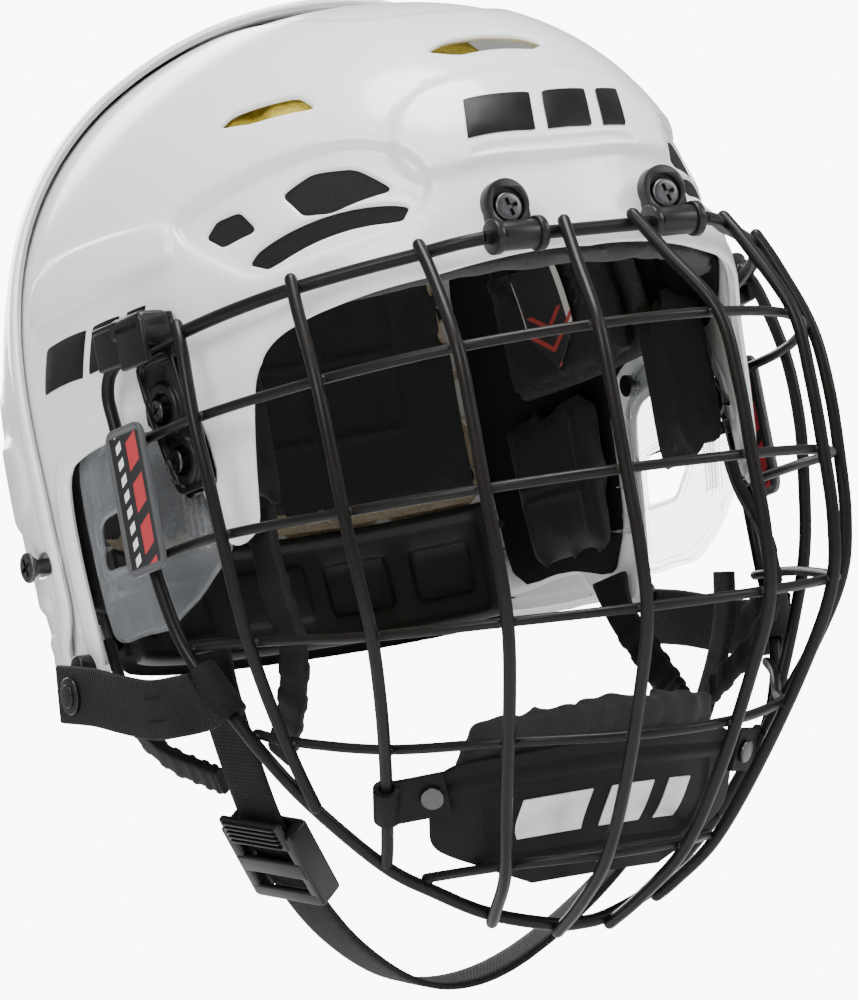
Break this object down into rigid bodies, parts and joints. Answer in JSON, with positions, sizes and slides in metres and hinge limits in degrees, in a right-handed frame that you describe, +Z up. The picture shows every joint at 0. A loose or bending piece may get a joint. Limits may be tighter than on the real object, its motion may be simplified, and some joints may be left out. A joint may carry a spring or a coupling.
{
  "type": "hockey helmet with face cage",
  "caption": "White two-piece ice hockey helmet with a hinged black wire face cage, padded chin cup, clear ear guards, foam lining and webbing straps.",
  "frame": {"origin": "centre of the wearer's head inside the helmet, on the mirror plane", "axes": "+Z up towards the crown, -Y the way the face looks, +X the wearer's left"},
  "size_m": [0.2182, 0.2964, 0.3077],
  "materials": {
    "shell_white": "glossy moulded shell",
    "brow_grey": "soft matt foam band",
    "foam_beige": "expanded foam, matt",
    "foam_yellow": "expanded foam, matt",
    "pad_black": "soft matt foam with an embossed face",
    "plastic_black": "satin moulded plastic",
    "clip_black": "semi-gloss moulded plastic",
    "ear_clear": "clear moulded plastic",
    "screw_dark": "dark plated steel",
    "nut_steel": "plated steel",
    "cage_wire": "satin black powder coat",
    "badge_grey": "flexible moulded plate",
    "webbing_black": "ribbed woven webbing"
  },
  "bodies": {
    "helmet": {"front_shell": "shell_white", "size_screws": "screw_dark", "brow_pad": "brow_grey", "brow_liner": "foam_beige", "upper_liner": "foam_beige", "crown_pad": "foam_yellow", "temple_pad_r": "pad_black", "temple_pad_l": "pad_black", "side_liner_r": "foam_yellow", "side_liner_l": "foam_yellow", "side_pad_r": "pad_black", "side_pad_l": "pad_black", "ear_liner_r": "pad_black", "ear_liner_l": "pad_black", "ear_guard_r": "ear_clear", "ear_guard_l": "ear_clear", "ear_guard_screws": "screw_dark", "brow_clip_r": "clip_black", "brow_clip_l": "clip_black", "brow_clip_screws": "screw_dark", "side_clip_r": "clip_black", "side_clip_l": "clip_black", "side_clip_screws": "screw_dark", "clip_nuts": "nut_steel", "front_leg_r": "plastic_black", "front_leg_l": "plastic_black", "rear_leg_r": "plastic_black", "rear_leg_l": "plastic_black", "chin_strap": "webbing_black", "chin_buckle": "plastic_black", "strap_studs": "plastic_black"},
    "rear_half": {"rear_shell": "shell_white", "rear_liner": "foam_beige", "rear_pad": "pad_black", "nape_cradle": "plastic_black"},
    "cage": {"brow_bar": "cage_wire", "frame_wire": "cage_wire", "upright_1": "cage_wire", "upright_2": "cage_wire", "upright_3": "cage_wire", "upright_4": "cage_wire", "upright_5": "cage_wire", "upright_6": "cage_wire", "upright_7": "cage_wire", "upright_8": "cage_wire", "cross_wire_1": "cage_wire", "cross_wire_2": "cage_wire", "cross_wire_3": "cage_wire", "cross_wire_4": "cage_wire", "cross_wire_5": "cage_wire", "badge_plate_r": "badge_grey", "badge_plate_l": "badge_grey", "chin_cup": "plastic_black", "chin_pad": "pad_black", "chin_tab_r": "plastic_black", "chin_tab_l": "plastic_black", "chin_rivets": "screw_dark"},
    "cage_strap_right": {"cage_strap_r": "webbing_black"},
    "cage_strap_left": {"cage_strap_l": "webbing_black"}
  },
  "joints": [
    {"name": "cage_hinge", "type": "hinge", "parent": "helmet", "child": "cage", "pos_m": [0, -0.118, 0.025], "axis": [-1, 0, 0], "range_deg": [0, 95]},
    {"name": "rear_shell_slide", "type": "slide", "parent": "helmet", "child": "rear_half", "axis": [0, 0.9945, 0.1045], "range_m": [0, 0.01]},
    {"name": "cage_strap_swing_l", "type": "hinge", "parent": "cage", "child": "cage_strap_left", "pos_m": [0.0972, -0.0206, -0.0834], "axis": [-0.2909, -0.3472, -0.8915], "range_deg": [0, 70]},
    {"name": "cage_strap_swing_r", "type": "hinge", "parent": "cage", "child": "cage_strap_right", "pos_m": [-0.0972, -0.0206, -0.0834], "axis": [-0.2909, 0.3472, 0.8915], "range_deg": [0, 70]}
  ]
}
